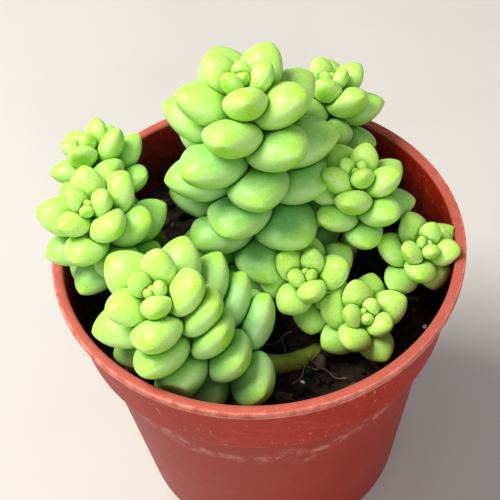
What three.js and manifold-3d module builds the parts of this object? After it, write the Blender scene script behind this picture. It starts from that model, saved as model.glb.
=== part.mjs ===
// Burro's tail (Sedum burrito) in a plastic nursery pot: nine leafy shoots rooted in dark peat.
// Millimetres, +Z up. The origin is the middle of the pot's underside, and -Y is the side that shows
// the bare stem.
import * as THREE from "three";
import { mergeVertices } from "three/addons/utils/BufferGeometryUtils.js";
import Module from "manifold-3d";

const wasm = await Module();
wasm.setup();

// The pot: an injection-moulded round nursery pot of the 4-inch size.
const potHeight = 88;
const rimRadius = 52.5;
const rimWidth = 2.7;
const rimDepth = 2.4;
const rimRounding = 0.6;
const lipOverhang = 1.7; // the lip stands this far out from the collar
const collarHeight = 21; // from the rim down to the ledge
const collarTaper = 2.2;
const ledgeWidth = 2.8;
const baseRadius = 37.5;
const potWall = 1;
const footWidth = 4.5;
const footHeight = 1.5;
const padRadius = 12; // the flat middle of the underside, level with the foot
const potFloor = 1.2;
const drainCount = 8;
const drainRadius = 3.5;
const drainCircle = 23;
const potSides = 48;

// The soil: peat that fills the pot to a headspace below the rim.
const headspace = 19;
const soilLump = 0.9;
const soilRings = 5;
const fitGap = 0.3; // between the soil and the pot, and round each stem in the soil

// Stems and leaves.
const stemRadius = 2.5;
const tipRadius = 1.1; // the stem's radius at its growing tip
const taperLength = 18; // from the tip down to where the stem has its full radius
const stemSides = 6;
const stemSteps = 8;
const leafGap = 0.3; // a leaf to whatever it touches
const leafWidth = 0.82; // shares of a leaf's length
const leafThickness = 0.56;
const leafSides = 6;
const footShare = 0.5; // how far out a leaf's foot starts, as a share of the stem's radius
const youngTilt = 14; // degrees from the stem, at the bud and low on the stem
const oldTilt = 100;
const tiltTurns = 9; // leaves over which the tilt opens
const bunching = 9; // leaves over which the spacing grows to its full step
const budLeafShare = 0.84; // how much shorter than a full leaf the first leaf is
const growthTurns = 3.2; // leaves over which they reach full length, on a shoot of few leaves
const leavesPerTurn = 10; // each so many leaves on a shoot slow the growth by one leaf more
const growthPower = 1.3;
const budLeaves = 6; // the youngest leaves, still one piece with the growing tip
const budLength = 2; // from the stem's end to the growing tip
const unevenness = 0.07; // how far one leaf differs from the next, as a share

const planRimRadius = 52.5; // the rim that the planting plan is drawn for, and spreads with

// The planting plan. root: where the stem enters the soil, and how deep it goes. rise: the stem's
// first reach out of the root. tip: the growing tip, with its height above the pot's rim. lean: the
// tip's azimuth and its angle from upright. spiral: the first leaf's azimuth and the turn from each
// leaf to the next. step: stem length for each grown leaf. free: grown leaves that are pieces of
// their own.
const shoots = [
  { name: "main_shoot", root: [2, 9, 8], rise: [0, 0, 20], tip: [-1, 16, 38], lean: [90, 2],
    spiral: [168, 138.3], step: 1.7, leafLength: 20.5, leaves: 40, free: 12 },
  { name: "front_left_shoot", root: [20, -16, 3], rise: [-24, -24, 2], tip: [-25, -27, 15], lean: [262, 26],
    spiral: [78, 142], step: 1.7, leafLength: 18.5, leaves: 30, free: 9 },
  { name: "left_shoot", root: [-24, -2, 8], rise: [-4, 0, 14], tip: [-40, -4, 20], lean: [250, 18],
    spiral: [197, -137.5], step: 1.4, leafLength: 15, leaves: 22, free: 7 },
  { name: "left_back_shoot", root: [-24, 16, 8], rise: [-4, 1, 14], tip: [-41, 18, 19], lean: [140, 32],
    spiral: [6, -137.5], step: 1.1, leafLength: 12.5, leaves: 18, free: 3 },
  { name: "back_shoot", root: [14, 26, 8], rise: [2, 3, 14], tip: [22, 37, 17], lean: [61, 14],
    spiral: [289, 137.5], step: 1.4, leafLength: 15, leaves: 18, free: 4 },
  { name: "right_back_shoot", root: [22, 6, 8], rise: [0, 0, 12], tip: [26, 6, 14], lean: [120, 12],
    spiral: [96, 137.5], step: 1.1, leafLength: 13.5, leaves: 18, free: 4 },
  { name: "right_shoot", root: [36, -4, 8], rise: [0, 0, 8], tip: [43, -8, 1], lean: [300, 24],
    spiral: [236, 137.5], step: 1.2, leafLength: 12.5, leaves: 15, free: 4 },
  { name: "middle_shoot", root: [12, 0, 8], rise: [0, 0, 8], tip: [12, -11, -3], lean: [223, 24],
    spiral: [247, -137.5], step: 1, leafLength: 13, leaves: 14, free: 3 },
  { name: "right_front_shoot", root: [25, -14, 8], rise: [0, 0, 7], tip: [25, -21, -8], lean: [290, 18],
    spiral: [358, 137.5], step: 1, leafLength: 12.5, leaves: 13, free: 3 },
];

const collarTopRadius = rimRadius - lipOverhang;
const collarFootRadius = collarTopRadius - collarTaper;
const spread = rimRadius / planRimRadius;
const soilLevel = potHeight - headspace;
const ledgeHeight = potHeight - collarHeight;
const floorTop = footHeight + potFloor;
const radians = THREE.MathUtils.degToRad;

// --- solids -----------------------------------------------------------------------------------

// A closed three.js geometry as a manifold-3d solid.
function solid(geometry) {
  const bare = geometry.clone();
  bare.deleteAttribute("normal");
  bare.deleteAttribute("uv");
  const merged = mergeVertices(bare, 1e-4);
  const mesh = new wasm.Mesh({
    numProp: 3,
    vertProperties: new Float32Array(merged.attributes.position.array),
    triVerts: new Uint32Array(merged.index.array),
  });
  return new wasm.Manifold(mesh);
}

// A manifold-3d solid as a three.js geometry.
function geometryOf(body) {
  const mesh = body.getMesh();
  const geometry = new THREE.BufferGeometry();
  geometry.setAttribute("position", new THREE.BufferAttribute(mesh.vertProperties, 3));
  geometry.setIndex(new THREE.BufferAttribute(mesh.triVerts, 1));
  geometry.computeVertexNormals();
  return geometry;
}

// The largest body of a solid that a cut may have left in several.
function largestBody(body) {
  const bodies = body.decompose();
  return bodies.reduce((kept, next) => (next.volume() > kept.volume() ? next : kept));
}

// A profile of [radius, height] pairs turned about the vertical axis.
function turned(profile, sides) {
  const points = profile.map(([radius, height]) => new THREE.Vector2(radius, height));
  return new THREE.LatheGeometry(points, sides).rotateX(Math.PI / 2);
}

// --- pot --------------------------------------------------------------------------------------

// Radius of the pot's inside at a height: the tapered body, then the wider collar above the ledge.
function insideRadius(height) {
  const ledgeTop = ledgeHeight + potWall;
  if (height > ledgeTop) {
    const share = (height - ledgeHeight) / (potHeight - rimDepth - ledgeHeight);
    return THREE.MathUtils.lerp(collarFootRadius, collarTopRadius, share) - potWall;
  }
  const share = height / ledgeHeight;
  return THREE.MathUtils.lerp(baseRadius, collarFootRadius - ledgeWidth, share) - potWall;
}

// The pot's section, grown on every side by a margin.
function potProfile(margin) {
  const bodyTopRadius = collarFootRadius - ledgeWidth;
  const lipFoot = potHeight - rimDepth;
  const innerRim = rimRadius - rimWidth;
  return [
    [0, -margin],
    [padRadius + margin, -margin],
    [padRadius + margin, footHeight - margin],
    [baseRadius - footWidth - margin, footHeight - margin],
    [baseRadius - footWidth - margin, -margin],
    [baseRadius + margin, -margin],
    [bodyTopRadius + margin, ledgeHeight - margin],
    [collarFootRadius + margin, ledgeHeight - margin],
    [collarTopRadius + margin, lipFoot - margin],
    [rimRadius + margin, lipFoot - margin],
    [rimRadius + margin, potHeight - rimRounding],
    [rimRadius - rimRounding, potHeight + margin],
    [innerRim + rimRounding, potHeight + margin],
    [innerRim - margin, potHeight - rimRounding],
    [insideRadius(ledgeHeight + potWall + 0.01) - margin, ledgeHeight + potWall + margin],
    [insideRadius(ledgeHeight) - margin, ledgeHeight + potWall + margin],
    [insideRadius(floorTop) - margin, floorTop + margin],
    [0, floorTop + margin],
  ];
}

function makePot() {
  let body = solid(turned(potProfile(0), potSides));
  for (let i = 0; i < drainCount; i += 1) {
    const angle = (2 * Math.PI * (i + 0.5)) / drainCount;
    const drain = new THREE.CylinderGeometry(drainRadius, drainRadius, 3 * floorTop, 12);
    drain.rotateX(Math.PI / 2);
    drain.translate(drainCircle * Math.cos(angle), drainCircle * Math.sin(angle), 0);
    body = body.subtract(solid(drain));
  }
  return body;
}

// --- soil -------------------------------------------------------------------------------------

// Height of the soil's surface: low lumps, level where it meets the pot.
function soilHeight(x, y) {
  const lumps = Math.sin(0.21 * x + 1.3) * Math.cos(0.17 * y - 0.4) + 0.6 * Math.sin(0.37 * (x - y));
  const edge = 1 - (Math.hypot(x, y) / insideRadius(soilLevel)) ** 4;
  return soilLevel + soilLump * lumps * Math.max(0, edge);
}

function makeSoil(margin) {
  const ledgeTop = ledgeHeight + potWall;
  const wallHeights = [floorTop + fitGap, ledgeTop, ledgeTop + fitGap, soilLevel];
  const profile = [[0, floorTop + fitGap]];
  for (const height of wallHeights.filter((level) => level <= soilLevel)) {
    const radius = insideRadius(height > ledgeTop ? height : Math.min(height, ledgeHeight));
    const seat = height === ledgeTop ? ledgeTop + fitGap : height;
    profile.push([radius - fitGap, seat]);
  }
  const edge = insideRadius(soilLevel) - fitGap;
  for (let ring = soilRings - 1; ring >= 0; ring -= 1) {
    profile.push([(edge * ring) / soilRings, soilLevel]);
  }
  const geometry = turned(profile, potSides);
  const position = geometry.attributes.position;
  for (let i = 0; i < position.count; i += 1) {
    const x = position.getX(i);
    const y = position.getY(i);
    if (position.getZ(i) > soilLevel - 0.01) {
      position.setZ(i, soilHeight(x, y) + margin);
    }
  }
  return solid(geometry);
}

// --- stems ------------------------------------------------------------------------------------

// The stem's middle line, from its buried end round to the lean of its tip.
function stemLine(shoot) {
  const [rootX, rootY, depth] = shoot.root;
  const [tipX, tipY, aboveRim] = shoot.tip;
  const root = new THREE.Vector3(spread * rootX, spread * rootY, soilLevel - depth);
  const tip = new THREE.Vector3(spread * tipX, spread * tipY, potHeight + aboveRim);
  const start = root.clone().add(new THREE.Vector3(...shoot.rise));
  const end = tip.clone().addScaledVector(leanDirection(shoot), -0.35 * root.distanceTo(tip));
  return new THREE.CubicBezierCurve3(root, start, end, tip);
}

function leanDirection(shoot) {
  const [azimuth, angle] = shoot.lean.map(radians);
  const flat = Math.sin(angle);
  return new THREE.Vector3(flat * Math.cos(azimuth), flat * Math.sin(azimuth), Math.cos(angle));
}

// The part of the stem's line from its root to a distance short of the growing tip.
function stemBelow(line, distance) {
  const share = 1 - distance / line.getLength();
  const points = [];
  for (let i = 0; i <= stemSteps; i += 1) {
    points.push(line.getPointAt((share * i) / stemSteps));
  }
  return points;
}

// The stem's radius at a distance below its growing tip.
function radiusBelowTip(distance) {
  return Math.min(stemRadius, tipRadius + ((stemRadius - tipRadius) * distance) / taperLength);
}

// A stem as a tube that tapers towards its tip, with a margin all round.
function makeStem(line, margin) {
  const rings = stemBelow(line, budLength);
  const ringStep = (line.getLength() - budLength) / stemSteps;
  const section = new THREE.Shape();
  section.absarc(0, 0, 1, 0, 2 * Math.PI);
  const tube = new THREE.ExtrudeGeometry(section, {
    curveSegments: stemSides / 2,
    steps: stemSteps,
    extrudePath: new THREE.CatmullRomCurve3(rings),
  });
  const position = tube.attributes.position;
  const point = new THREE.Vector3();
  for (let i = 0; i < position.count; i += 1) {
    point.fromBufferAttribute(position, i);
    const gaps = rings.map((ring) => ring.distanceTo(point));
    const nearest = gaps.indexOf(Math.min(...gaps));
    const radius = radiusBelowTip(budLength + ringStep * (stemSteps - nearest)) + margin;
    point.sub(rings[nearest]).multiplyScalar(radius).add(rings[nearest]);
    position.setXYZ(i, point.x, point.y, point.z);
  }
  return solid(tube);
}

// --- leaves -----------------------------------------------------------------------------------

// A repeatable number from -0.5 to 0.5 for one leaf.
function uneven(shoot, turn, which) {
  const wave = Math.sin(turn * 12.9898 + shoots.indexOf(shoot) * 78.233 + which * 37.719) * 43758.5453;
  return wave - Math.floor(wave) - 0.5;
}

// Where a leaf grows on its stem, counted from the tip: its foot, its long axis and its upper face.
function leafPlace(shoot, line, turn) {
  const fromTip = (shoot.step * turn * turn) / (turn + bunching);
  const share = Math.max(0, 1 - fromTip / line.getLength());
  const up = line.getTangentAt(share);
  const axis = leanDirection(shoot);
  const carried = new THREE.Quaternion().setFromUnitVectors(axis, up);
  const east = new THREE.Vector3(1, 0, 0).addScaledVector(axis, -axis.x).normalize();
  const north = axis.clone().cross(east).applyQuaternion(carried);
  east.applyQuaternion(carried);
  const [first, step] = shoot.spiral;
  const around = radians(first + step * turn + 100 * unevenness * uneven(shoot, turn, 1));
  const out = east.multiplyScalar(Math.cos(around)).addScaledVector(north, Math.sin(around));
  const opening = oldTilt - (oldTilt - youngTilt) * Math.exp(-turn / tiltTurns);
  const tilt = radians(opening + 100 * unevenness * uneven(shoot, turn, 2));
  const along = up.clone().multiplyScalar(Math.cos(tilt)).addScaledVector(out, Math.sin(tilt));
  const face = up.clone().multiplyScalar(Math.sin(tilt)).addScaledVector(out, -Math.cos(tilt));
  const inset = footShare * radiusBelowTip(fromTip) * Math.min(1, fromTip / budLength);
  const foot = line.getPointAt(share).addScaledVector(out, inset);
  const growth = (turn / (growthTurns + shoot.leaves / leavesPerTurn)) ** growthPower;
  const short = budLeafShare * Math.exp(-growth);
  const length = shoot.leafLength * (1 - short) * (1 + unevenness * uneven(shoot, turn, 3));
  return { foot, along, face, length };
}

// A plump leaf: widest past its middle, blunt at the foot, with the upper face a little flatter.
function makeLeaf(leaf, margin) {
  const outline = [[0, 0], [0.9, 0.27], [0.97, 0.7], [0, 1]];
  const points = outline.map(([radius, height]) => new THREE.Vector2(radius, height));
  const blade = new THREE.LatheGeometry(points, leafSides);
  const position = blade.attributes.position;
  for (let i = 0; i < position.count; i += 1) {
    if (position.getZ(i) > 0) {
      position.setZ(i, 0.8 * position.getZ(i));
    }
  }
  const halfWidth = (leaf.length * leafWidth) / 2 + margin;
  const halfThickness = (leaf.length * leafThickness) / 2 + margin;
  blade.scale(halfWidth, leaf.length + 2 * margin, halfThickness);
  blade.translate(0, -margin, 0);
  const across = leaf.along.clone().cross(leaf.face);
  const place = new THREE.Matrix4().makeBasis(across, leaf.along, leaf.face).setPosition(leaf.foot);
  return solid(blade.applyMatrix4(place));
}

// Every leaf of a shoot that stands clear of the soil, youngest first.
function growLeaves(shoot) {
  const line = stemLine(shoot);
  const leaves = [];
  for (let turn = 0; turn < shoot.leaves; turn += 1) {
    const leaf = leafPlace(shoot, line, turn);
    if (leaf.foot.z > soilHeight(leaf.foot.x, leaf.foot.y) + stemRadius) {
      leaf.turn = turn;
      leaf.shoot = shoot;
      leaf.centre = leaf.foot.clone().addScaledVector(leaf.along, leaf.length / 2);
      leaf.free = turn >= budLeaves && turn < budLeaves + shoot.free;
      leaf.body = makeLeaf(leaf, 0);
      leaf.room = makeLeaf(leaf, leafGap);
      leaves.push(leaf);
    }
  }
  return leaves;
}

function meets(leaf, other) {
  return leaf.centre.distanceTo(other.centre) < 0.6 * (leaf.length + other.length) + leafGap;
}

// --- the plant --------------------------------------------------------------------------------

// A growing tip: the stem and its youngest leaves, which are still one piece.
function makeCrown(shoot, leaves, margin) {
  let crown = makeStem(stemLine(shoot), margin);
  for (const leaf of leaves.filter((each) => each.turn < budLeaves)) {
    crown = crown.add(margin > 0 ? leaf.room : leaf.body);
  }
  return crown;
}

// A leaf pressed out of the way of what it grows against: crowns, pot, soil and older claims.
function pressed(leaf, crowns, firmer) {
  let body = leaf.body;
  for (const crown of crowns) {
    body = body.subtract(crown);
  }
  for (const other of firmer.filter((each) => meets(leaf, each))) {
    body = body.subtract(other.room);
  }
  if (leaf.centre.z - leaf.length < potHeight) {
    body = body.subtract(potRoom).subtract(soilRoom);
  }
  return body;
}

const potRoom = solid(turned(potProfile(leafGap), potSides));
const soilRoom = makeSoil(leafGap);

function makePlant() {
  const grown = shoots.map(growLeaves);
  const crowns = shoots.map((shoot, i) => makeCrown(shoot, grown[i], 0));
  const crownRooms = shoots.map((shoot, i) => makeCrown(shoot, grown[i], leafGap));
  const byAge = grown.flat().sort((one, other) => one.turn - other.turn);
  const settled = [];
  const pieces = [];
  for (const leaf of byAge.filter((each) => each.free)) {
    const body = largestBody(pressed(leaf, crownRooms, settled));
    settled.push(leaf);
    pieces.push({ leaf, body });
  }
  const bodies = [...crowns];
  for (const leaf of byAge.filter((each) => !each.free && each.turn >= budLeaves)) {
    const home = shoots.indexOf(leaf.shoot);
    const otherRooms = crownRooms.filter((room, i) => i !== home);
    const firmer = settled.filter((other) => other.free || other.shoot !== leaf.shoot);
    bodies[home] = bodies[home].add(pressed(leaf, otherRooms, firmer));
    settled.push(leaf);
  }
  return { pieces, bodies: bodies.map(largestBody) };
}

// --- materials --------------------------------------------------------------------------------

function terracottaPlastic() {
  return new THREE.MeshStandardMaterial({ color: 0xb4442f, roughness: 0.5, metalness: 0 });
}

function darkPeat() {
  return new THREE.MeshStandardMaterial({ color: 0x1b1512, roughness: 1, metalness: 0 });
}

function stemSkin() {
  return new THREE.MeshStandardMaterial({ color: 0x9fbf5a, roughness: 0.6, metalness: 0 });
}

// Young leaves are yellow-green, and old ones have turned a bluer, duller green.
function leafSkin(turn) {
  const color = new THREE.Color(0xb2d467).lerp(new THREE.Color(0x7da66f), Math.min(1, turn / 20));
  return new THREE.MeshStandardMaterial({ color, roughness: 0.55, metalness: 0 });
}

// --- assembly ---------------------------------------------------------------------------------

function addPart(group, name, body, material) {
  const mesh = new THREE.Mesh(geometryOf(body), material);
  mesh.name = name;
  group.add(mesh);
}

const pottedPlant = new THREE.Group();
addPart(pottedPlant, "pot", makePot(), terracottaPlastic());

let soil = makeSoil(0);
for (const shoot of shoots) {
  soil = soil.subtract(makeStem(stemLine(shoot), fitGap));
}
addPart(pottedPlant, "potting_soil", largestBody(soil), darkPeat());

const plant = makePlant();
for (const [i, shoot] of shoots.entries()) {
  addPart(pottedPlant, shoot.name, plant.bodies[i], stemSkin());
}
for (const { leaf, body } of plant.pieces) {
  const number = String(leaf.turn - budLeaves + 1).padStart(2, "0");
  const name = leaf.shoot.name.replace("shoot", "leaf_") + number;
  addPart(pottedPlant, name, body, leafSkin(leaf.turn));
}

export default pottedPlant;
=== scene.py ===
"""A burro's tail (Sedum burrito) rooted in a round plastic nursery pot, on a pale studio floor."""

import math

import bmesh
import bpy
import numpy as np
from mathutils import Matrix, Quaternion, Vector, noise


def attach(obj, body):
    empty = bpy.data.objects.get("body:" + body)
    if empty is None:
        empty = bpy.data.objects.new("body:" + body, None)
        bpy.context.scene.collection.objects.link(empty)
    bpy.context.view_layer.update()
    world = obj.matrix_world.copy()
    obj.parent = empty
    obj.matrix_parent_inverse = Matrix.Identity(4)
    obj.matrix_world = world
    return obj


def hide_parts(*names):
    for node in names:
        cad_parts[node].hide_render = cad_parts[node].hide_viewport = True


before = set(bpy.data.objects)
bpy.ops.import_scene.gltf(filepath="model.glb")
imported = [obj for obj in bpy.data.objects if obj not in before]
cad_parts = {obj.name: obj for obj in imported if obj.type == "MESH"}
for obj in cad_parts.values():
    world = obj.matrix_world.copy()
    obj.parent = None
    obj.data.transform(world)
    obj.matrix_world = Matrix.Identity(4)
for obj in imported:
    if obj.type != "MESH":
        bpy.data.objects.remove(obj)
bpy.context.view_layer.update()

# ---- Studio ----------------------------------------------------------------------------------
# A sheet of matt off-white background paper lies under the pot. One big soft lamp stands high on
# the left, a weaker one fills from the front right, and the pale room lights the rest.
FLOOR_REACH = 4.0  # metres from the pot to the edge of the paper
FLOOR_SINK = 0.00005  # metres the paper gives under the pot, so that the two share no plane
PAPER_WHITE = "#d2d0cb"
PAPER_FIBRE = "#c8c5bf"
PER_MM = 1000.0  # pattern repeats in a metre, for one repeat in a millimetre


def linear(colour):
    """An sRGB hex colour as linear light, with full alpha."""
    shares = [int(colour[at:at + 2], 16) / 255 for at in (1, 3, 5)]
    return [s / 12.92 if s <= 0.04045 else ((s + 0.055) / 1.055) ** 2.4 for s in shares] + [1.0]


def add_node(material, kind, inputs=None, **settings):
    """Adds a shader node. Each input gets a value, a hex colour, an output or a node's first one."""
    node = material.node_tree.nodes.new("ShaderNode" + kind)
    for name, value in settings.items():
        setattr(node, name, value)
    for socket, value in (inputs or {}).items():
        if isinstance(value, bpy.types.Node):
            value = value.outputs[0]
        if isinstance(value, bpy.types.NodeSocket):
            material.node_tree.links.new(value, node.inputs[socket])
        elif isinstance(value, str):
            node.inputs[socket].default_value = linear(value)
        else:
            node.inputs[socket].default_value = value
    return node


def new_finish(name):
    """An empty node material."""
    material = bpy.data.materials.new(name)
    material.use_nodes = True
    material.node_tree.nodes.clear()
    return material


# Uncoated paper scatters light evenly; its fibres give it a faint cloudiness.
paper = new_finish("uncoated_background_paper")
room_place = add_node(paper, "TexCoord")
paper_cloud = add_node(paper, "TexNoise", {
    "Vector": room_place.outputs["Object"], "Scale": PER_MM / 60, "Detail": 3.0})
paper_tone = add_node(paper, "MixRGB", {"Fac": paper_cloud, "Color1": PAPER_WHITE, "Color2": PAPER_FIBRE})
paper_shader = add_node(paper, "BsdfPrincipled", {
    "Base Color": paper_tone, "Roughness": 0.9, "Specular IOR Level": 0.2})
add_node(paper, "OutputMaterial", {"Surface": paper_shader})

floor_mesh = bpy.data.meshes.new("paper_floor")
floor_mesh.from_pydata(
    [(FLOOR_REACH * x, FLOOR_REACH * y, -FLOOR_SINK) for x, y in ((-1, -1), (1, -1), (1, 1), (-1, 1))],
    [], [(0, 1, 2, 3)])
floor_mesh.materials.append(paper)
floor = bpy.data.objects.new("paper_floor", floor_mesh)
bpy.context.collection.objects.link(floor)


def add_lamp(name, place, size, watts, colour):
    """A square soft lamp that faces the plant."""
    light = bpy.data.lights.new(name, "AREA")
    light.size = size
    light.energy = watts
    light.color = linear(colour)[:3]
    lamp = bpy.data.objects.new(name, light)
    lamp.location = place
    lamp.rotation_mode = "QUATERNION"
    lamp.rotation_quaternion = (Vector((0, 0, 0.08)) - Vector(place)).to_track_quat("-Z", "Y")
    bpy.context.collection.objects.link(lamp)
    return lamp


add_lamp("key_softbox", (-0.42, 0.10, 0.78), 0.42, 9.8, "#fffcf6")
add_lamp("front_softbox", (0.10, -0.95, 0.45), 0.50, 3.4, "#ffffff")

room = bpy.data.worlds.new("pale_room")
room.use_nodes = True
room.node_tree.nodes["Background"].inputs["Color"].default_value = linear("#e8ebee")
room.node_tree.nodes["Background"].inputs["Strength"].default_value = 0.38
bpy.context.scene.world = room
bpy.context.scene.view_settings.view_transform = "Standard"

# The camera looks down on the rim from the front, rolled a little to the right.
camera_data = bpy.data.cameras.new("camera")
camera_data.lens = 86.4
camera_data.sensor_width = 36.0
camera_data.clip_start = 0.01
camera_data.clip_end = 50.0
camera = bpy.data.objects.new("camera", camera_data)
camera.location = (0.0, -0.1997, 0.3185)
camera.rotation_mode = "QUATERNION"
sight = Vector((-0.0070, 0.6481, -0.7615)).to_track_quat("-Z", "Y")
camera.rotation_quaternion = sight @ Quaternion((0, 0, 1), math.radians(-4.8))
bpy.context.collection.objects.link(camera)
bpy.context.scene.camera = camera

# ---- Pot -------------------------------------------------------------------------------------
# A thin-walled nursery pot of the 4-inch size, injection moulded in terracotta-coloured
# polypropylene: a tapered body, a ledge that pots stack on, a collar, and a rolled lip.
POT_HEIGHT = 88.0  # millimetres, as are all sizes from here on
RIM_RADIUS = 52.5
RIM_WIDTH = 2.7
RIM_DEPTH = 2.4
LIP_OVERHANG = 1.7
COLLAR_TAPER = 2.2
LEDGE_HEIGHT = 67.0
LEDGE_WIDTH = 2.8
BASE_RADIUS = 37.5
POT_WALL = 1.0
FOOT_WIDTH = 4.5
FOOT_HEIGHT = 1.5
PAD_RADIUS = 12.0
FLOOR_TOP = 2.7
GATE_RADIUS = 1.6  # the round mark where the plastic entered the mould
DRAIN_COUNT = 8
DRAIN_RADIUS = 3.5
DRAIN_CIRCLE = 23.0
POT_SIDES = 224
COLLAR_TOP = RIM_RADIUS - LIP_OVERHANG
COLLAR_FOOT = COLLAR_TOP - COLLAR_TAPER
LIME_HEIGHT = 57.0
LIME_WIDTH = 4.0
LIME_WAVE = 6.0
# The painted shadow under the ledge fades out over this depth.
LEDGE_SHADOW_DEPTH = 12.0  # how far below the ledge the body is at its deepest colour
# The dust and painted shade inside the collar are full below the first height and thinnest at the second.
DUST_SHADE_FULL = 74.0
DUST_SHADE_THIN = 87.0
TERRACOTTA = "#b02409"
TERRACOTTA_DEEP = "#981a05"
SCUFFED = "#c85f45"
# The body's deeper red, which also serves as the painted shadow under the ledge.
BODY_RED_AND_SHADOW = "#861103"
RUBBED_AND_HIGHLIGHT = "#e69a86"
# Pale rubbed plastic, which on the lip also serves as a painted highlight.
LIME = "#d8a396"
# Soil dust, dark enough that it also serves as painted shade inside the pot.
SOIL_DUST_AND_SHADE = "#35180f"


def rounded(corners, steps=5):
    """A section's corners [radius, height, fillet] with each fillet drawn as a short curve."""
    points = []
    for at, (radius, height, fillet) in enumerate(corners):
        here = np.array([radius, height])
        if fillet == 0 or at in (0, len(corners) - 1):
            points.append(here)
            continue
        ends = []
        for other in (corners[at - 1], corners[at + 1]):
            way = np.array(other[:2]) - here
            reach = np.linalg.norm(way)
            ends.append(here + way / reach * min(fillet, 0.45 * reach))
        for share in np.linspace(0, 1, steps):
            rest = 1 - share
            points.append(rest ** 2 * ends[0] + 2 * share * rest * here + share ** 2 * ends[1])
    return points


def inside_radius(height):
    """The inside radius of the pot: the tapered body, then the wider collar above the ledge."""
    if height > LEDGE_HEIGHT + POT_WALL:
        share = (height - LEDGE_HEIGHT) / (POT_HEIGHT - RIM_DEPTH - LEDGE_HEIGHT)
        return COLLAR_FOOT + (COLLAR_TOP - COLLAR_FOOT) * share - POT_WALL
    share = height / LEDGE_HEIGHT
    return BASE_RADIUS + (COLLAR_FOOT - LEDGE_WIDTH - BASE_RADIUS) * share - POT_WALL


def ring_faces(rings, sides, poles=True):
    """Faces over rings of vertices, closed by a vertex at each end. The end vertices come last."""
    faces = []
    for ring in range(rings - 1):
        for side in range(sides):
            after = (side + 1) % sides
            here, above = ring * sides, (ring + 1) * sides
            faces.append((here + side, here + after, above + after, above + side))
    if poles:
        first, last, top = rings * sides, rings * sides + 1, (rings - 1) * sides
        for side in range(sides):
            after = (side + 1) % sides
            faces.append((first, after, side))
            faces.append((last, top + side, top + after))
    return faces


def turned(section, sides):
    """A section turned about the upright axis. Its first and last points lie on that axis."""
    around = np.linspace(0, 2 * math.pi, sides, endpoint=False)
    rings = [[(r * math.cos(a), r * math.sin(a), h) for a in around] for r, h in section[1:-1]]
    points = np.array(rings).reshape(-1, 3)
    ends = np.array([(0, 0, section[0][1]), (0, 0, section[-1][1])])
    return np.vstack([points, ends]), ring_faces(len(section) - 2, sides)


def soften(mesh, crease):
    """Smooth shading, apart from edges sharper than the crease angle in degrees."""
    shape = bmesh.new()
    shape.from_mesh(mesh)
    bmesh.ops.recalc_face_normals(shape, faces=shape.faces)
    for face in shape.faces:
        face.smooth = True
    for edge in shape.edges:
        edge.smooth = edge.calc_face_angle(0.0) < math.radians(crease)
    shape.to_mesh(mesh)
    shape.free()


def place_piece(name, points, faces, material, nodes, crease=180):
    """A mesh drawn in millimetres, put in the scene as a piece that stands for some CAD nodes."""
    mesh = bpy.data.meshes.new(name)
    mesh.from_pydata((np.asarray(points) / 1000).tolist(), [], faces)
    soften(mesh, crease)
    mesh.materials.append(material)
    piece = bpy.data.objects.new(name, mesh)
    bpy.context.collection.objects.link(piece)
    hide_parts(*nodes)
    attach(piece, "root")
    return piece


# The lip's outer face has a fine groove between two rolled edges, left by the mould's split.
lip_foot = POT_HEIGHT - RIM_DEPTH
pot_section = rounded([
    (0, 0.35, 0), (GATE_RADIUS, 0.35, 0.1), (GATE_RADIUS + 0.3, 0, 0.1), (PAD_RADIUS, 0, 0.4),
    (PAD_RADIUS + 0.3, FOOT_HEIGHT, 0.4), (BASE_RADIUS - FOOT_WIDTH, FOOT_HEIGHT, 0.5),
    (BASE_RADIUS - FOOT_WIDTH + 0.2, 0, 0.4), (BASE_RADIUS, 0, 0.9),
    (COLLAR_FOOT - LEDGE_WIDTH, LEDGE_HEIGHT, 0.4), (COLLAR_FOOT, LEDGE_HEIGHT, 0.4),
    (COLLAR_TOP, lip_foot, 0.5), (RIM_RADIUS - 0.1, lip_foot, 0.5), (RIM_RADIUS, lip_foot + 0.9, 0.25),
    (RIM_RADIUS - 0.28, lip_foot + 1.02, 0.12), (RIM_RADIUS - 0.02, lip_foot + 1.2, 0.25),
    (RIM_RADIUS, POT_HEIGHT, 0.8), (RIM_RADIUS - RIM_WIDTH, POT_HEIGHT, 0.8),
    (inside_radius(LEDGE_HEIGHT + POT_WALL + 0.01), LEDGE_HEIGHT + POT_WALL, 0.8),
    (inside_radius(LEDGE_HEIGHT), LEDGE_HEIGHT + POT_WALL, 0.4),
    (inside_radius(FLOOR_TOP), FLOOR_TOP, 1.0), (0, FLOOR_TOP, 0)])
pot_points, pot_faces = turned(pot_section, POT_SIDES)

# Moulded polypropylene is satin, with a faint orange-peel skin. Handling has scuffed and nicked the collar
# pale, hard water has left a lime mark on the body, and wet soil has dusted the inside. Light and shade are
# painted too: painted shadow under the ledge, painted shade inside the collar and a painted highlight on the
# lip.
polypropylene = new_finish("moulded_polypropylene")
pot_place = add_node(polypropylene, "TexCoord").outputs["Object"]
pot_spot = add_node(polypropylene, "SeparateXYZ", {"Vector": pot_place})
pot_height_here = pot_spot.outputs["Z"]
batch_cloud = add_node(polypropylene, "TexNoise", {"Vector": pot_place, "Scale": PER_MM / 22, "Detail": 4.0})
pot_colour = add_node(polypropylene, "MixRGB", {
    "Fac": batch_cloud, "Color1": TERRACOTTA_DEEP, "Color2": TERRACOTTA})
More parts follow.
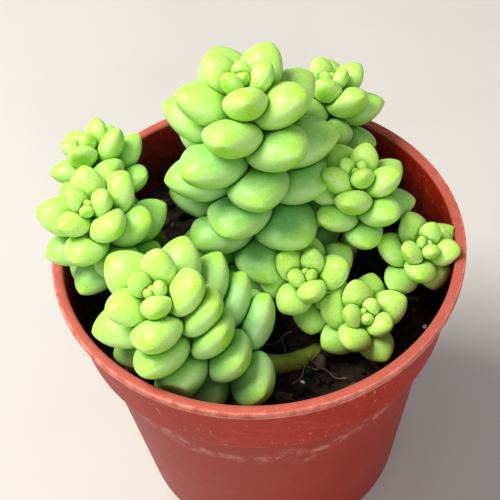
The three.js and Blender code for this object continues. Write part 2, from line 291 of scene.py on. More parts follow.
# The body is less handled and less faded than the collar. It also carries a painted shadow under the ledge,
# deepest just below the ledge and fading out further down.
ledge_line = (LEDGE_HEIGHT - 0.3) / 1000
body_and_shadow_depth = add_node(polypropylene, "MapRange", {
    "Value": pot_height_here, "From Min": ledge_line - LEDGE_SHADOW_DEPTH / 1000, "From Max": ledge_line,
    "To Min": 0.5, "To Max": 0.9})
below_ledge = add_node(polypropylene, "MapRange", {
    "Value": pot_height_here, "From Min": ledge_line, "From Max": ledge_line + 0.0004, "To Min": 1.0,
    "To Max": 0.0})
body_and_shadow_share = add_node(polypropylene, "Math", {0: body_and_shadow_depth, 1: below_ledge}, operation="MULTIPLY")
unfaded_shadowed_colour = add_node(polypropylene, "MixRGB", {
    "Fac": body_and_shadow_share, "Color1": pot_colour, "Color2": BODY_RED_AND_SHADOW})

# Scuffs: short marks, drawn out round the pot, thick on the collar and the lip.
scuff_stretch = add_node(polypropylene, "Mapping", {"Vector": pot_place, "Scale": (1.0, 1.0, 3.2)})
scuff_marks = add_node(polypropylene, "TexNoise", {
    "Vector": scuff_stretch, "Scale": PER_MM / 5, "Detail": 8.0, "Roughness": 0.7})
scuff_edge = add_node(polypropylene, "MapRange", {
    "Value": scuff_marks, "From Min": 0.52, "From Max": 0.72, "To Max": 0.55})
scuff_zone = add_node(polypropylene, "MapRange", {
    "Value": pot_height_here, "From Min": ledge_line, "From Max": ledge_line + 0.0004, "To Min": 0.25,
    "To Max": 1.0})
scuff_share = add_node(polypropylene, "Math", {0: scuff_edge, 1: scuff_zone}, operation="MULTIPLY")
scuffed_colour = add_node(polypropylene, "MixRGB", {
    "Fac": scuff_share, "Color1": unfaded_shadowed_colour, "Color2": SCUFFED})
# Nicks: pale specks under a millimetre long, with a rubbed line along the collar's lower edge.
nick_stretch = add_node(polypropylene, "Mapping", {"Vector": pot_place, "Scale": (1.0, 1.0, 0.45)})
nick_marks = add_node(polypropylene, "TexNoise", {
    "Vector": nick_stretch, "Scale": PER_MM / 0.9, "Detail": 3.0, "Roughness": 0.6})
nick_edge = add_node(polypropylene, "MapRange", {
    "Value": nick_marks, "From Min": 0.63, "From Max": 0.74, "To Max": 0.75})
nick_share = add_node(polypropylene, "Math", {0: nick_edge, 1: scuff_zone}, operation="MULTIPLY")
collar_rub = add_node(polypropylene, "MapRange", {
    "Value": pot_height_here, "From Min": LEDGE_HEIGHT / 1000, "From Max": (LEDGE_HEIGHT + 0.8) / 1000,
    "To Min": 0.45, "To Max": 0.0})
rub_share = add_node(polypropylene, "Math", {0: collar_rub, 1: scuff_marks}, operation="MULTIPLY")
rub_zone = add_node(polypropylene, "Math", {0: rub_share, 1: scuff_zone}, operation="MULTIPLY")
nick_or_rub = add_node(polypropylene, "Math", {0: nick_share, 1: rub_zone}, operation="MAXIMUM")
nicked_colour = add_node(polypropylene, "MixRGB", {
    "Fac": nick_or_rub, "Color1": scuffed_colour, "Color2": RUBBED_AND_HIGHLIGHT})

# Lime: a broken, wavy tide mark a little below the ledge, where hard water has dried.
lime_wave = add_node(polypropylene, "TexNoise", {"Vector": pot_place, "Scale": PER_MM / 30, "Detail": 2.0})
lime_rise = add_node(polypropylene, "MapRange", {
    "Value": lime_wave, "From Min": 0.3, "From Max": 0.7,
    "To Min": -LIME_WAVE / 1000, "To Max": LIME_WAVE / 1000})
lime_level = add_node(polypropylene, "Math", {0: pot_height_here, 1: lime_rise}, operation="ADD")
lime_away = add_node(polypropylene, "Math", {0: lime_level, 1: LIME_HEIGHT / 1000}, operation="SUBTRACT")
lime_distance = add_node(polypropylene, "Math", {0: lime_away}, operation="ABSOLUTE")
lime_band = add_node(polypropylene, "MapRange", {
    "Value": lime_distance, "From Min": 0.0, "From Max": LIME_WIDTH / 1000,
    "To Min": 1.0, "To Max": 0.0}, interpolation_type="SMOOTHSTEP")
lime_crust = add_node(polypropylene, "TexNoise", {
    "Vector": pot_place, "Scale": PER_MM / 3.5, "Detail": 9.0, "Roughness": 0.75})
lime_breaks = add_node(polypropylene, "MapRange", {
    "Value": lime_crust, "From Min": 0.46, "From Max": 0.68, "To Max": 0.8})
lime_share = add_node(polypropylene, "Math", {0: lime_band, 1: lime_breaks}, operation="MULTIPLY")
limed_colour = add_node(polypropylene, "MixRGB", {
    "Fac": lime_share, "Color1": nicked_colour, "Color2": LIME})

# Dust and painted shade: a dark film on the inside of the collar, just above the soil. It is partly soil
# dust and partly painted shade inside the pot.
pot_flat = add_node(polypropylene, "CombineXYZ", {"X": pot_spot.outputs["X"], "Y": pot_spot.outputs["Y"]})
pot_radius_here = add_node(polypropylene, "VectorMath", {0: pot_flat}, operation="LENGTH")
collar_slope = COLLAR_TAPER / (POT_HEIGHT - RIM_DEPTH - LEDGE_HEIGHT)
collar_lean = add_node(polypropylene, "Math", {
    0: pot_height_here, 1: -collar_slope, 2: pot_radius_here.outputs["Value"]}, operation="MULTIPLY_ADD")
inner_face = (COLLAR_FOOT - collar_slope * LEDGE_HEIGHT - POT_WALL / 2) / 1000
dust_shade_side = add_node(polypropylene, "MapRange", {
    "Value": collar_lean, "From Min": inner_face, "From Max": inner_face + 0.0002,
    "To Min": 1.0, "To Max": 0.0})
dust_shade_height = add_node(polypropylene, "MapRange", {
    "Value": pot_height_here, "From Min": DUST_SHADE_FULL / 1000, "From Max": DUST_SHADE_THIN / 1000,
    "To Min": 1.0, "To Max": 0.35})
dust_shade_foot = add_node(polypropylene, "MapRange", {
    "Value": pot_height_here, "From Min": (LEDGE_HEIGHT + 0.4) / 1000,
    "From Max": (LEDGE_HEIGHT + 0.6) / 1000})
dust_shade_grain = add_node(polypropylene, "TexNoise", {"Vector": pot_place, "Scale": PER_MM / 3, "Detail": 6.0})
dust_shade_inside = add_node(polypropylene, "Math", {0: dust_shade_height, 1: dust_shade_side}, operation="MULTIPLY")
dust_shade_above = add_node(polypropylene, "Math", {0: dust_shade_inside, 1: dust_shade_foot}, operation="MULTIPLY")
dust_shade_cover = add_node(polypropylene, "MapRange", {
    "Value": dust_shade_grain, "From Min": 0.3, "From Max": 0.6, "To Min": 0.55, "To Max": 0.95})
dust_and_shade_share = add_node(polypropylene, "Math", {0: dust_shade_above, 1: dust_shade_cover}, operation="MULTIPLY")
dusted_shaded_colour = add_node(polypropylene, "MixRGB", {
    "Fac": dust_and_shade_share, "Color1": limed_colour, "Color2": SOIL_DUST_AND_SHADE})

# The lip's flat top has worn a little paler and also carries a painted highlight where it faces the lamps.
# Its outer edge is rubbed in broken lines, which are partly wear and partly a painted highlight.
lip_top_wear_and_highlight = add_node(polypropylene, "MapRange", {
    "Value": pot_height_here, "From Min": (POT_HEIGHT - 0.9) / 1000,
    "From Max": (POT_HEIGHT - 0.3) / 1000, "To Max": 0.26})
lip_edge_wear_and_highlight = add_node(polypropylene, "MapRange", {
    "Value": pot_radius_here.outputs["Value"], "From Min": (RIM_RADIUS - 0.9) / 1000,
    "From Max": (RIM_RADIUS - 0.3) / 1000})
lip_rub_and_highlight_breaks = add_node(polypropylene, "MapRange", {
    "Value": lime_crust, "From Min": 0.34, "From Max": 0.58, "To Min": 0.15, "To Max": 0.8})
edge_rub_and_highlight = add_node(polypropylene, "Math", {0: lip_edge_wear_and_highlight, 1: lip_rub_and_highlight_breaks}, operation="MULTIPLY")
lip_wear_and_highlight_share = add_node(polypropylene, "Math", {0: lip_top_wear_and_highlight, 1: edge_rub_and_highlight}, operation="MAXIMUM")
rubbed_highlit_colour = add_node(polypropylene, "MixRGB", {
    "Fac": lip_wear_and_highlight_share, "Color1": dusted_shaded_colour, "Color2": RUBBED_AND_HIGHLIGHT})

gloss_cloud = add_node(polypropylene, "MapRange", {
    "Value": scuff_marks, "From Min": 0.3, "From Max": 0.7, "To Min": 0.40, "To Max": 0.56})
# The real orange peel is a third of a millimetre wide, too fine to show, and is drawn coarser.
orange_peel = add_node(polypropylene, "TexNoise", {
    "Vector": pot_place, "Scale": PER_MM / 1.2, "Detail": 2.0})
pot_skin = add_node(polypropylene, "Bump", {"Height": orange_peel, "Strength": 0.12, "Distance": 0.0002})
pot_shader = add_node(polypropylene, "BsdfPrincipled", {
    "Base Color": rubbed_highlit_colour, "Roughness": gloss_cloud,
    "IOR": 1.49, "Specular IOR Level": 0.15, "Normal": pot_skin})
add_node(polypropylene, "OutputMaterial", {"Surface": pot_shader})

pot_piece = place_piece(
    "nursery_pot", pot_points, pot_faces, polypropylene, ["pot"], crease=40)

# The drain holes go through the floor, between the pad and the foot.
drill_mesh = bpy.data.meshes.new("drain_drills")
drill_shape = bmesh.new()
for hole in range(DRAIN_COUNT):
    angle = 2 * math.pi * (hole + 0.5) / DRAIN_COUNT
    drill = bmesh.ops.create_cone(
        drill_shape, cap_ends=True, segments=40, radius1=DRAIN_RADIUS / 1000,
        radius2=DRAIN_RADIUS / 1000, depth=4 * FLOOR_TOP / 1000)
    middle = Vector((math.cos(angle), math.sin(angle), 0)) * DRAIN_CIRCLE / 1000
    bmesh.ops.translate(drill_shape, verts=drill["verts"], vec=middle)
drill_shape.to_mesh(drill_mesh)
drill_shape.free()
drills = bpy.data.objects.new("drain_drills", drill_mesh)
bpy.context.collection.objects.link(drills)
drilling = pot_piece.modifiers.new("drain_holes", "BOOLEAN")
drilling.operation = "DIFFERENCE"
drilling.object = drills
drilled = bpy.data.meshes.new_from_object(
    pot_piece.evaluated_get(bpy.context.evaluated_depsgraph_get()))
pot_piece.modifiers.clear()
pot_piece.data = drilled
bpy.data.objects.remove(drills)
soften(drilled, 40)

# ---- Soil ------------------------------------------------------------------------------------
# Dark peat potting mix, watered down to a headspace below the rim: a lumpy bed with loose crumbs,
# flakes of composted bark, a few white grains of perlite, and old root fibres on top.
SOIL_LEVEL = 69.0
SOIL_LUMP = 0.9
SOIL_GAP = 0.3
SOIL_RINGS = 110
SOIL_SIDES = 300
CRUMB_COUNT = 230
FLAKE_COUNT = 60
GRAIN_COUNT = 14
GRAIN_SPOTS = [(7, -41), (12, -38), (41, -18), (-8, -43)]  # where perlite shows between the leaves
FIBRE_COUNT = 22
FIBRE_REACH = 42
FIBRE_STEPS = 16
FIBRE_STEP = 0.8
PEAT_DARK = "#120d0a"
PEAT_BROWN = "#33241a"
BARK_BROWN = "#5d412b"
PERLITE_WHITE = "#d8d2c4"
PERLITE_STAIN = "#6d5d4c"
ROOT_STRAW = "#8d7650"


def soil_height(x, y):
    """Height of the soil's surface: low lumps, level where it meets the pot."""
    lumps = np.sin(0.21 * x + 1.3) * np.cos(0.17 * y - 0.4) + 0.6 * np.sin(0.37 * (x - y))
    edge = 1 - (np.hypot(x, y) / inside_radius(SOIL_LEVEL)) ** 4
    return SOIL_LEVEL + SOIL_LUMP * lumps * np.maximum(0, edge)


def peat_grain(x, y):
    """Crumb structure of the bed: clods a few millimetres across, with finer grit on them."""
    spot = Vector((x, y, 0.0))
    clods = 0.5 - noise.voronoi(spot / 3.4)[0][0]
    grit = noise.turbulence(spot / 1.6, 3, True)
    return 1.1 * clods + 0.7 * grit - 0.6


soil_edge = inside_radius(SOIL_LEVEL) - SOIL_GAP
soil_section = [(0, FLOOR_TOP + SOIL_GAP)]
for level in (FLOOR_TOP + SOIL_GAP, LEDGE_HEIGHT - 0.1):
    soil_section.append((inside_radius(level) - SOIL_GAP, level))
soil_section.append((soil_edge, LEDGE_HEIGHT + POT_WALL + SOIL_GAP))
for ring in range(SOIL_RINGS, -1, -1):
    soil_section.append((soil_edge * ring / SOIL_RINGS, SOIL_LEVEL))
soil_points, soil_faces = turned(soil_section, SOIL_SIDES)
for at, (x, y, z) in enumerate(soil_points):
    if z > SOIL_LEVEL - 0.01:
        rim_share = min(1.0, (soil_edge - math.hypot(x, y)) / 3.0)
        soil_points[at, 2] = soil_height(x, y) + peat_grain(x, y) * (0.35 + 0.65 * rim_share)

# Damp peat is nearly black, crumbly and matt, with brown fibre showing on the clods.
peat = new_finish("damp_peat")
peat_place = add_node(peat, "TexCoord").outputs["Object"]
peat_clods = add_node(peat, "TexNoise", {"Vector": peat_place, "Scale": PER_MM / 2.5, "Detail": 8.0})
peat_fibre = add_node(peat, "MapRange", {"Value": peat_clods, "From Min": 0.45, "From Max": 0.75})
peat_colour = add_node(peat, "MixRGB", {"Fac": peat_fibre, "Color1": PEAT_DARK, "Color2": PEAT_BROWN})
peat_grit = add_node(peat, "TexNoise", {"Vector": peat_place, "Scale": PER_MM / 0.6, "Detail": 4.0})
peat_skin = add_node(peat, "Bump", {"Height": peat_grit, "Strength": 0.8, "Distance": 0.0004})
peat_shader = add_node(peat, "BsdfPrincipled", {
    "Base Color": peat_colour, "Roughness": 0.94, "Specular IOR Level": 0.25,
    "Normal": peat_skin})
add_node(peat, "OutputMaterial", {"Surface": peat_shader})
place_piece("peat_bed", soil_points, soil_faces, peat, ["potting_soil"], crease=60)

scatter = np.random.default_rng(11)
pebble_shape = bmesh.new()
bmesh.ops.create_icosphere(pebble_shape, subdivisions=3, radius=1.0)
pebble_points = np.array([vertex.co[:] for vertex in pebble_shape.verts])
pebble_faces = [tuple(vertex.index for vertex in face.verts) for face in pebble_shape.faces]
pebble_shape.free()


def strewn(count, sizes, squash, sink, spots=()):
    """Rough lumps lying on the soil, in one mesh, the first ones at given spots. sizes: smallest
    and largest radius. squash: shares of it along each axis. sink: the share that is buried."""
    points, faces = [], []
    for lump in range(count):
        if lump < len(spots):
            x, y = spots[lump]
        else:
            reach = (soil_edge - 1.5) * math.sqrt(scatter.random())
            angle = 2 * math.pi * scatter.random()
            x, y = reach * math.cos(angle), reach * math.sin(angle)
        size = sizes[0] + (sizes[1] - sizes[0]) * scatter.random() ** 2
        shape = size * np.array(squash) * (0.75 + 0.5 * scatter.random(3))
        shift = Vector(20 * scatter.random(3))
        rough = np.array([1 + 0.55 * noise.noise(Vector(p) * 1.3 + shift)
                          + 0.2 * noise.noise(Vector(p) * 3.5 + shift) for p in pebble_points])
        lying = Quaternion((0, 0, 1), 2 * math.pi * scatter.random())
        tilted = Quaternion((1, 0, 0), 0.9 * (scatter.random() - 0.5))
        turn = np.array((lying @ tilted).to_matrix())
        middle = np.array([x, y, soil_height(x, y) + size * squash[2] * (1 - sink)])
        faces += [tuple(index + len(points) * len(pebble_points) for index in face)
                  for face in pebble_faces]
        points.append((pebble_points * rough[:, None] * shape) @ turn.T + middle)
    return np.vstack(points), faces


crumb_points, crumb_faces = strewn(CRUMB_COUNT, (0.5, 1.9), (1, 0.9, 0.75), 0.5)
place_piece("peat_crumbs", crumb_points, crumb_faces, peat, ["potting_soil"])

# Composted bark breaks in flat flakes, browner than the peat and grained along their length.
bark = new_finish("composted_bark")
bark_place = add_node(bark, "TexCoord").outputs["Object"]
bark_grain = add_node(bark, "TexNoise", {
    "Vector": bark_place, "Scale": PER_MM / 0.7, "Detail": 6.0, "Distortion": 1.5})
bark_colour = add_node(bark, "MixRGB", {"Fac": bark_grain, "Color1": PEAT_DARK, "Color2": BARK_BROWN})
bark_skin = add_node(bark, "Bump", {"Height": bark_grain, "Strength": 0.7, "Distance": 0.0003})
bark_shader = add_node(bark, "BsdfPrincipled", {
    "Base Color": bark_colour, "Roughness": 0.85, "Normal": bark_skin})
add_node(bark, "OutputMaterial", {"Surface": bark_shader})
flake_points, flake_faces = strewn(FLAKE_COUNT, (1.0, 2.6), (1, 0.5, 0.28), 0.1)
place_piece("bark_flakes", flake_points, flake_faces, bark, ["potting_soil"])

# Perlite is puffed volcanic glass: chalk white, rough, stained by the peat in its hollows.
perlite = new_finish("puffed_perlite")
perlite_place = add_node(perlite, "TexCoord").outputs["Object"]
perlite_pores = add_node(perlite, "TexNoise", {
    "Vector": perlite_place, "Scale": PER_MM / 0.9, "Detail": 5.0})
perlite_stain = add_node(perlite, "MapRange", {"Value": perlite_pores, "From Min": 0.35, "From Max": 0.6})
perlite_colour = add_node(perlite, "MixRGB", {
    "Fac": perlite_stain, "Color1": PERLITE_STAIN, "Color2": PERLITE_WHITE})
perlite_skin = add_node(perlite, "Bump", {"Height": perlite_pores, "Strength": 0.6, "Distance": 0.0003})
perlite_shader = add_node(perlite, "BsdfPrincipled", {
    "Base Color": perlite_colour, "Roughness": 0.9,
    "Normal": perlite_skin})
add_node(perlite, "OutputMaterial", {"Surface": perlite_shader})
grain_points, grain_faces = strewn(GRAIN_COUNT, (0.6, 1.1), (1, 0.85, 0.8), 0.2, GRAIN_SPOTS)
place_piece("perlite_grains", grain_points, grain_faces, perlite, ["potting_soil"])


def tube(path, radii, sides):
    """A closed round tube along a path of points, with a radius at each point."""
    path = np.asarray(path, float)
    ways = np.gradient(path, axis=0)
    ways /= np.linalg.norm(ways, axis=1)[:, None]
    side = np.cross(ways[0], [0.31, 0.17, 0.93])
    around = np.linspace(0, 2 * math.pi, sides, endpoint=False)
    rings = []
    for point, way, radius in zip(path, ways, radii):
        side = side - way * (side @ way)
        side /= np.linalg.norm(side)
        other = np.cross(way, side)
        reach = np.broadcast_to(radius, (sides,))[:, None]
        rings.append(point + reach * (np.cos(around)[:, None] * side + np.sin(around)[:, None] * other))
    return np.vstack(rings + [path[:1], path[-1:]]), ring_faces(len(path), sides)


# Dead root fibre is straw-coloured and thin as thread.
fibre = new_finish("dry_root_fibre")
fibre_place = add_node(fibre, "TexCoord").outputs["Object"]
fibre_stain = add_node(fibre, "TexNoise", {"Vector": fibre_place, "Scale": PER_MM / 2.0, "Detail": 4.0})
fibre_colour = add_node(fibre, "MixRGB", {"Fac": fibre_stain, "Color1": PEAT_BROWN, "Color2": ROOT_STRAW})
fibre_shader = add_node(fibre, "BsdfPrincipled", {"Base Color": fibre_colour, "Roughness": 0.8})
add_node(fibre, "OutputMaterial", {"Surface": fibre_shader})
fibre_points, fibre_faces = [], []
for root in range(FIBRE_COUNT):
    reach = FIBRE_REACH * math.sqrt(scatter.random())
    angle = 2 * math.pi * scatter.random()
    spot = np.array([reach * math.cos(angle), reach * math.sin(angle)])
    heading = 2 * math.pi * scatter.random()
    path = []
    for step in range(FIBRE_STEPS):
        path.append([spot[0], spot[1], soil_height(*spot) + 0.9 + 0.5 * math.sin(0.8 * step + root)])
        heading += 0.5 * (scatter.random() - 0.5)
        spot = spot + FIBRE_STEP * np.array([math.cos(heading), math.sin(heading)])
        spot *= min(1.0, (soil_edge - 1) / np.hypot(*spot))
    made, made_faces = tube(path, np.linspace(0.2, 0.08, FIBRE_STEPS), 6)
    before = sum(len(part) for part in fibre_points)
    fibre_faces += [tuple(index + before for index in face) for face in made_faces]
    fibre_points.append(made)
place_piece("root_fibres", np.vstack(fibre_points), fibre_faces, fibre, ["potting_soil"])

# ---- Stems -----------------------------------------------------------------------------------
# Nine stems root in the peat and bend up or outwards. Each is soft green plant tissue that
# tapers to its growing tip, with a low scar wherever an old leaf has dropped.
STEM_RADIUS = 2.5
TIP_RADIUS = 1.1
TAPER_LENGTH = 18.0
BUD_LENGTH = 2.0
STEM_RINGS = 120
STEM_SIDES = 28
SCAR_SIZE = 1.1
SCAR_RISE = 0.28
OLDEST_LEAF = 60  # the last leaf, counted from the tip, whose scar is drawn
BUNCHED_LEAVES = 9
UNEVENNESS = 0.07
STEM_OLIVE = "#8a982f"
STEM_GREEN = "#9fbf52"
STREAK_GREEN = "#5f7a2c"
SCAR_BROWN = "#6f6a35"

# name, root (x, y, depth), rise, tip (x, y, above the rim), lean (azimuth, angle), spiral (first
# leaf, turn), step, leaf length, leaves, and how many of the grown leaves are CAD nodes.
SHOOTS = [
    ("main", (2, 9, 8), (0, 0, 20), (-1, 16, 38), (90, 2), (168, 138.3), 1.7, 21.6, 40, 12),
    ("front_left", (20, -16, 3), (-24, -24, 2), (-25, -27, 15), (262, 26), (78, 142), 1.7, 18.5, 30, 9),
    ("left", (-24, -2, 8), (-4, 0, 14), (-40, -4, 20), (250, 18), (197, -137.5), 1.4, 15, 22, 7),
    ("left_back", (-24, 16, 8), (-4, 1, 14), (-41, 18, 19), (140, 32), (6, -137.5), 1.1, 12.5, 18, 3),
    ("back", (14, 26, 8), (2, 3, 14), (22, 37, 17), (61, 14), (289, 137.5), 1.4, 15, 18, 4),
    ("right_back", (22, 6, 8), (0, 0, 12), (26, 6, 14), (120, 12), (96, 137.5), 1.1, 13.5, 18, 4),
    ("right", (36, -4, 8), (0, 0, 8), (41.5, -7.7, 1), (300, 20), (236, 137.5), 1.2, 12, 15, 4),
    ("middle", (12, 0, 8), (0, 0, 8), (12, -11, -3), (223, 24), (247, -137.5), 1, 13, 14, 3),
    ("right_front", (25, -14, 8), (0, 0, 7), (25, -21, -8), (290, 18), (358, 137.5), 1, 12.5, 13, 3),
]


class Shoot:
    """One stem's line from its buried end to its growing tip, and the spiral its leaves follow."""

    def __init__(self, number, plan):
        self.number = number
        (self.name, root, rise, tip, lean, self.spiral, self.step, self.leaf_length,
         self.leaf_count, self.free) = plan
        azimuth, angle = (math.radians(a) for a in lean)
        self.axis = np.array([
            math.sin(angle) * math.cos(azimuth), math.sin(angle) * math.sin(azimuth), math.cos(angle)])
        start = np.array([root[0], root[1], SOIL_LEVEL - root[2]], float)
        end = np.array([tip[0], tip[1], POT_HEIGHT + tip[2]], float)
        self.controls = np.array([
            start, start + rise, end - 0.35 * np.linalg.norm(end - start) * self.axis, end])
        self.marks = np.linspace(0, 1, 201)
        steps = np.linalg.norm(np.diff(self.curve(self.marks), axis=0), axis=1)
        self.travelled = np.concatenate([[0], np.cumsum(steps)])
        self.length = self.travelled[-1]

    def curve(self, mark):
        """The line's point at a mark from 0, the root, to 1, the tip."""
        t = np.atleast_1d(mark)[:, None]
        a, b, c, d = self.controls
        return (1 - t) ** 3 * a + 3 * (1 - t) ** 2 * t * b + 3 * (1 - t) * t ** 2 * c + t ** 3 * d

    def below_tip(self, distance):
        """The line's point and direction at a distance below the growing tip."""
        mark = np.interp(np.clip(self.length - distance, 0, self.length), self.travelled, self.marks)
        ends = self.curve([max(0, mark - 1e-4), min(1, mark + 1e-4)])
        way = ends[1] - ends[0]
        return self.curve(mark)[0], way / np.linalg.norm(way)

    def leaf_distance(self, turn):
        """How far below the tip a leaf grows, counted from the tip: bunched at first, then even."""
        return self.step * turn * turn / (turn + BUNCHED_LEAVES)

    def leaf_directions(self, turn):
        """The stem's direction at a leaf, and the direction in which that leaf faces away."""
        up = self.below_tip(self.leaf_distance(turn))[1]
        carried = np.array(Vector(self.axis).rotation_difference(Vector(up)).to_matrix())
        east = np.array([1, 0, 0]) - self.axis * self.axis[0]
        east /= np.linalg.norm(east)
        north = np.cross(self.axis, east)
        first, step = self.spiral
        around = math.radians(first + step * turn + 100 * UNEVENNESS * uneven(self, turn, 1))
        return up, carried @ (math.cos(around) * east + math.sin(around) * north)


def uneven(shoot, turn, which):
    """A repeatable number from -0.5 to 0.5 for one leaf."""
    wave = math.sin(turn * 12.9898 + shoot.number * 78.233 + which * 37.719) * 43758.5453
    return wave - math.floor(wave) - 0.5


def radius_below_tip(distance):
    """The stem's radius at a distance below its growing tip."""
    return min(STEM_RADIUS, TIP_RADIUS + (STEM_RADIUS - TIP_RADIUS) * distance / TAPER_LENGTH)


# The skin of a living stem is smooth and slightly waxy, olive where it is old and green near the
# leaves, with lengthwise streaks and corky brown scars.
stem_skin = new_finish("living_stem_skin")
stem_place = add_node(stem_skin, "TexCoord").outputs["Object"]
stem_age = add_node(stem_skin, "Attribute", attribute_name="stem_age")
stem_scar = add_node(stem_skin, "Attribute", attribute_name="stem_scar")
stem_streak = add_node(stem_skin, "TexNoise", {"Vector": stem_place, "Scale": PER_MM / 1.8, "Detail": 5.0})
stem_base = add_node(stem_skin, "MixRGB", {
    "Fac": stem_age.outputs["Fac"], "Color1": STEM_GREEN, "Color2": STEM_OLIVE})
stem_shade = add_node(stem_skin, "MapRange", {
    "Value": stem_streak, "From Min": 0.3, "From Max": 0.7, "To Min": 0.0, "To Max": 0.35})
stem_streaked = add_node(stem_skin, "MixRGB", {
    "Fac": stem_shade, "Color1": stem_base, "Color2": STREAK_GREEN})
stem_scarred = add_node(stem_skin, "MixRGB", {
    "Fac": stem_scar.outputs["Fac"], "Color1": stem_streaked, "Color2": SCAR_BROWN})
stem_bump = add_node(stem_skin, "Bump", {"Height": stem_streak, "Strength": 0.25, "Distance": 0.0002})
stem_shader = add_node(stem_skin, "BsdfPrincipled", {
    "Base Color": stem_scarred, "Roughness": 0.5, "Normal": stem_bump})
add_node(stem_skin, "OutputMaterial", {"Surface": stem_shader})

shoots = [Shoot(number, plan) for number, plan in enumerate(SHOOTS)]
for shoot in shoots:
    distances = np.linspace(shoot.length, BUD_LENGTH * 0.6, STEM_RINGS)
    path = np.array([shoot.below_tip(distance)[0] for distance in distances])
    radii = np.array([radius_below_tip(distance) for distance in distances])
    stem_points, stem_faces = tube(path, radii, STEM_SIDES)
    scarring = np.zeros(len(stem_points))
    for turn in range(shoot.leaf_count, OLDEST_LEAF):
        fallen = shoot.leaf_distance(turn)
        if fallen > shoot.length:
            break
        middle = shoot.below_tip(fallen)[0]
        out = shoot.leaf_directions(turn)[1]
        scar = middle + out * radius_below_tip(fallen)
        near = np.exp(-(np.linalg.norm(stem_points - scar, axis=1) / SCAR_SIZE) ** 2)
        stem_points += SCAR_RISE * near[:, None] * out
        scarring = np.maximum(scarring, near ** 3)
    stem = place_piece(
        shoot.name + "_stem", stem_points, stem_faces, stem_skin, [shoot.name + "_shoot"])
    down = np.repeat(np.clip(distances / 40 - 0.4, 0, 1), STEM_SIDES)
    ages = np.concatenate([down, [down[0], down[-1]]])
    stem.data.attributes.new("stem_age", "FLOAT", "POINT").data.foreach_set("value", ages)
    stem.data.attributes.new("stem_scar", "FLOAT", "POINT").data.foreach_set("value", 0.8 * scarring)

# ---- Leaves ----------------------------------------------------------------------------------
# Plump water-storing leaves sit straight on the stem without a stalk, each a golden-angle turn
# round from the last. They swell until they press on each other, so older ones carry dents.
LEAF_WIDTH = 0.77  # shares of a leaf's length
LEAF_THICKNESS = 0.60
LEAF_CURL = 0.06  # how far the tip bends towards the stem's tip
UPPER_SHARE = 0.78  # the upper half is flatter than the lower
FOOT_POWER = 0.66  # powers of the outline towards the foot and the tip
TIP_POWER = 0.70
SECTION_POWER = 1.86  # 2 is an ellipse; less gives edges at the sides and a soft keel
YOUTH_TURNS = 4.0  # leaves over which the round bud form goes
YOUNG_DEPTH = 0.14  # how much thicker, flatter-tipped and rounder the youngest leaf is
YOUNG_UPPER = 0.2
YOUNG_TIP = 0.2
YOUNG_SECTION = 0.3
LEAF_RINGS = 36
LEAF_SIDES = 32
PRESS_GAP = 0.12
FOOT_SHARE = 0.5
YOUNG_TILT = 14.0
OLD_TILT = 100.0
TILT_TURNS = 9.0
BUD_LEAF_SHARE = 0.84
GROWTH_TURNS = 3.6  # leaves over which they reach full length,
GROWTH_PER_LEAF = 0.07  # and this much more for each leaf on the shoot
GROWTH_POWER = 1.6
BUD_LEAVES = 6
OLD_TURNS = 22  # leaves from the tip at which one has its oldest colour
WALL_ROOM = 2.2  # the least space between a leaf's axis and the pot's wall
LIP_SLOPE = 3.0  # how fast that space opens above the lip
NEAR_SHARE = 0.62  # leaves whose middles are within this share of their joint length may touch
PRESS_ROUNDS = 24
PRESS_STEP = 0.038
EASING_ROUNDS = 5
LEAF_AGE_COLOURS = ((0.3, "#bfe962"), (0.62, "#9dd664"))
LEAF_YOUNGEST = "#cdf07e"
LEAF_OLDEST = "#76b96e"
LEAF_TINT = "#b2e86c"
TIP_YELLOW = "#aee02a"
UNDERSIDE_GREEN = "#9cdb25"
# The deeper green at a leaf's foot, partly its own colour and partly painted shade.
FOOT_GREEN_AND_SHADE = "#5b9c46"
BLOOM_PALE = "#cbeba4"
PORE_GREEN = "#7cb544"
EDGE_PALE = "#cdeb9a"
GRIT_BROWN = "#4e5b27"


def collar_inside(height):
    """The inside radius of the collar at any height, also beyond its ends."""
    share = (height - LEDGE_HEIGHT) / (POT_HEIGHT - RIM_DEPTH - LEDGE_HEIGHT)
    return COLLAR_FOOT + (COLLAR_TOP - COLLAR_FOOT) * share - POT_WALL


